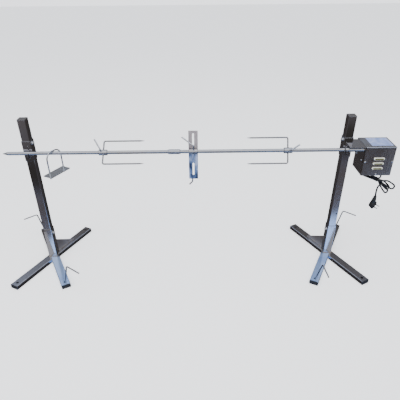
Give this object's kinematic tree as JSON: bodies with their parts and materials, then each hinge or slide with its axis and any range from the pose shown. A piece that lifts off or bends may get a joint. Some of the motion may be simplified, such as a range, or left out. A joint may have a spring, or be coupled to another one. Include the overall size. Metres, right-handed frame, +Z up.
{
  "type": "rotisserie spit roaster",
  "caption": "Motorised spit roaster: a pointed spit with forks, brace and leg bracket across two cross-foot stands, turned by a box motor with mains lead and plug.",
  "frame": {"origin": "on the floor, under the axis of the left post, at the centre of the left stand's cross foot", "axes": "+X along the spit towards the motor, +Y away from the side the spit hangs on, +Z up"},
  "size_m": [1.8305, 0.5356, 0.729],
  "materials": {
    "stainless": "polished stainless tube with a fine drawn grain",
    "spit_steel": "satin stainless rod",
    "zinc_bolts": "bright stainless bolts and screws",
    "motor_paint": "dark grey brushed sheet-metal box",
    "label": "pale blank label",
    "black_plastic": "black moulded plastic",
    "cord_rubber": "black rubber lead",
    "pins": "nickel-plated pins",
    "gear_steel": "machined steel",
    "gear_case": "die-cast aluminium",
    "bronze": "oil-filled bronze"
  },
  "bodies": {
    "stands": {"left_long_leg": "stainless", "left_leg_halves": "stainless", "left_base_socket": "stainless", "left_post": "stainless", "right_long_leg": "stainless", "right_leg_halves": "stainless", "right_base_socket": "stainless", "right_post": "stainless", "leg_end_plugs": "black_plastic", "gussets": "stainless", "socket_bolts": "zinc_bolts", "post_caps": "stainless"},
    "left_carriage": {"left_collar": "stainless", "left_cradle": "stainless"},
    "left_collar_bolt": {"left_collar_bolt": "zinc_bolts"},
    "right_carriage": {"right_collar": "stainless", "right_cradle": "stainless", "motor_bracket": "stainless", "motor_housing": "motor_paint", "motor_front_cover": "motor_paint", "rating_label": "label", "housing_screws": "zinc_bolts", "gearbox_case": "gear_case", "gearbox_lid": "gear_case", "motor_can": "gear_case", "shaft_bush": "bronze", "cord_gland": "black_plastic", "mains_cord": "cord_rubber", "cord_hank": "cord_rubber", "cord_tie": "black_plastic", "plug_body": "black_plastic", "plug_pins": "pins"},
    "right_collar_bolt": {"right_collar_bolt": "zinc_bolts"},
    "spit": {"spit_point_half": "spit_steel", "spit_drive_half": "spit_steel", "spit_coupling": "spit_steel", "spit_stop_ring": "spit_steel", "drive_sleeve": "spit_steel", "sleeve_set_screw": "zinc_bolts", "output_shaft": "spit_steel", "output_gear": "gear_steel"},
    "idler": {"idler_gear": "gear_steel"},
    "rotor": {"motor_rotor": "gear_steel"},
    "left_fork": {"left_fork_hub": "spit_steel", "left_fork_tines": "spit_steel"},
    "left_fork_bolt": {"left_fork_bolt": "zinc_bolts"},
    "right_fork": {"right_fork_hub": "spit_steel", "right_fork_tines": "spit_steel"},
    "right_fork_bolt": {"right_fork_bolt": "zinc_bolts"},
    "brace": {"brace_hub": "spit_steel", "brace_plate": "stainless", "brace_hook": "spit_steel"},
    "brace_bolt": {"brace_bolt": "zinc_bolts"},
    "leg_bracket": {"leg_bracket_rod": "spit_steel"},
    "leg_clamp": {"leg_bracket_plate": "stainless", "leg_bracket_nuts": "zinc_bolts"},
    "left_front_peg": {"left_front_peg": "spit_steel"},
    "left_back_peg": {"left_back_peg": "spit_steel"},
    "right_front_peg": {"right_front_peg": "spit_steel"},
    "right_back_peg": {"right_back_peg": "spit_steel"}
  },
  "joints": [
    {"name": "right_height", "type": "slide", "parent": "stands", "child": "right_carriage", "axis": [0, 0, 1], "range_m": [-0.24, 0.085]},
    {"name": "left_height", "type": "slide", "parent": "stands", "child": "left_carriage", "axis": [0, 0, 1], "range_m": [-0.24, 0.085]},
    {"name": "right_collar_screw", "type": "hinge", "parent": "right_carriage", "child": "right_collar_bolt", "pos_m": [1.35, 0, 0.62], "axis": [-1, 0, 0], "range_deg": [-180, 180]},
    {"name": "left_collar_screw", "type": "hinge", "parent": "left_carriage", "child": "left_collar_bolt", "pos_m": [0.02, 0, 0.62], "axis": [1, 0, 0], "range_deg": [-180, 180]},
    {"name": "spit_spin", "type": "hinge", "parent": "right_carriage", "child": "spit", "pos_m": [0, -0.0324, 0.586], "axis": [1, 0, 0], "continuous": true},
    {"name": "idler_spin", "type": "hinge", "parent": "right_carriage", "child": "idler", "pos_m": [1.46, -0.02222, 0.57582], "axis": [1, 0, 0], "continuous": true},
    {"name": "rotor_spin", "type": "hinge", "parent": "right_carriage", "child": "rotor", "pos_m": [1.46, -0.00949, 0.56309], "axis": [1, 0, 0], "continuous": true},
    {"name": "left_fork_slide", "type": "slide", "parent": "spit", "child": "left_fork", "axis": [1, 0, 0], "range_m": [-0.09, 0.15]},
    {"name": "right_fork_slide", "type": "slide", "parent": "spit", "child": "right_fork", "axis": [1, 0, 0], "range_m": [-0.18, 0.2]},
    {"name": "brace_slide", "type": "slide", "parent": "spit", "child": "brace", "axis": [1, 0, 0], "range_m": [-0.025, 0.03]},
    {"name": "left_fork_screw", "type": "hinge", "parent": "left_fork", "child": "left_fork_bolt", "pos_m": [0.316, -0.0324, 0.586], "axis": [0, -0.6018, 0.7986], "range_deg": [-180, 180]},
    {"name": "right_fork_screw", "type": "hinge", "parent": "right_fork", "child": "right_fork_bolt", "pos_m": [1.119, -0.0324, 0.586], "axis": [0, -0.891, 0.454], "range_deg": [-180, 180]},
    {"name": "brace_screw", "type": "hinge", "parent": "brace", "child": "brace_bolt", "pos_m": [0.709, -0.0324, 0.586], "axis": [0, -0.5736, 0.8192], "range_deg": [0, 200]},
    {"name": "leg_bracket_swing", "type": "hinge", "parent": "right_carriage", "child": "leg_bracket", "pos_m": [0.111, -0.0324, 0.586], "axis": [1, 0, 0], "continuous": true},
    {"name": "leg_clamp_slide", "type": "slide", "parent": "leg_bracket", "child": "leg_clamp", "axis": [0, 0, 1], "range_m": [-0.008, 0.062]},
    {"name": "left_front_peg_pull", "type": "slide", "parent": "stands", "child": "left_front_peg", "axis": [0.23, -0.07, 0.9707], "range_m": [0, 0.12]},
    {"name": "left_back_peg_pull", "type": "slide", "parent": "stands", "child": "left_back_peg", "axis": [-0.24, 0.04, 0.9699], "range_m": [0, 0.12]},
    {"name": "right_front_peg_pull", "type": "slide", "parent": "stands", "child": "right_front_peg", "axis": [0.14, -0.19, 0.9718], "range_m": [0, 0.12]},
    {"name": "right_back_peg_pull", "type": "slide", "parent": "stands", "child": "right_back_peg", "axis": [0.24, 0.02, 0.9706], "range_m": [0, 0.12]}
  ],
  "couplings": [
    {"joint": "left_height", "follows": "right_height", "ratio": 1},
    {"joint": "idler_spin", "follows": "spit_spin", "ratio": -2},
    {"joint": "rotor_spin", "follows": "spit_spin", "ratio": 8}
  ]
}
